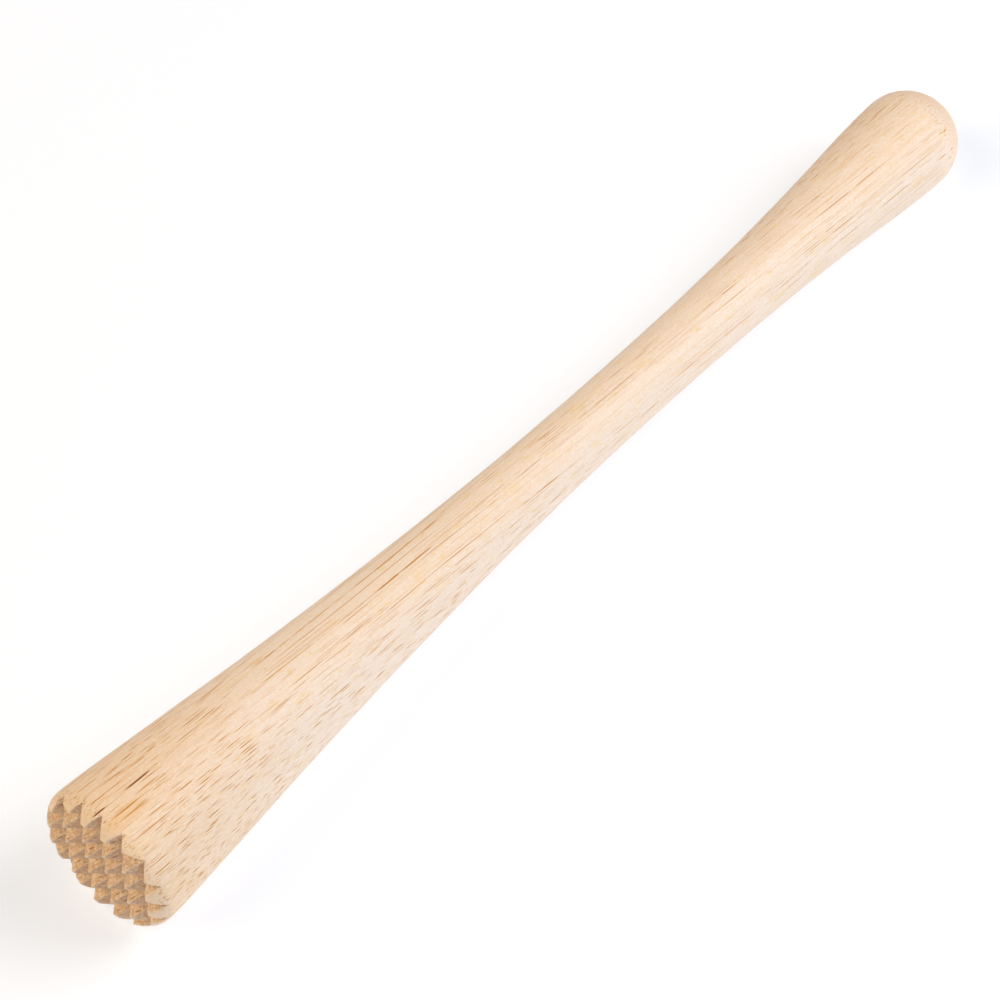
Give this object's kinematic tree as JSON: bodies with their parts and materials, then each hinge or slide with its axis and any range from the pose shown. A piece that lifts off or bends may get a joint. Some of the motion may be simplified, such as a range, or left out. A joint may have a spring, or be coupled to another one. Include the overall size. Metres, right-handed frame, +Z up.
{
  "type": "meat mallet",
  "caption": "One-piece turned wooden pounding mallet: flared head with pyramid teeth cut in its end, slim waist, handle swelling to a round knob. For tenderising and crushing.",
  "frame": {"origin": "under the middle of the mallet, on the surface it lies on", "axes": "+X points to the toothed end, +Z is up, and the mallet lies on its side on its head's rim and its knob"},
  "size_m": [0.3052, 0.038, 0.038],
  "materials": {
    "pale_hardwood": "fine sanded, no varnish or paint; end grain bare on the cut teeth"
  },
  "bodies": {
    "root": {"turned_mallet": "pale_hardwood"}
  },
  "joints": []
}
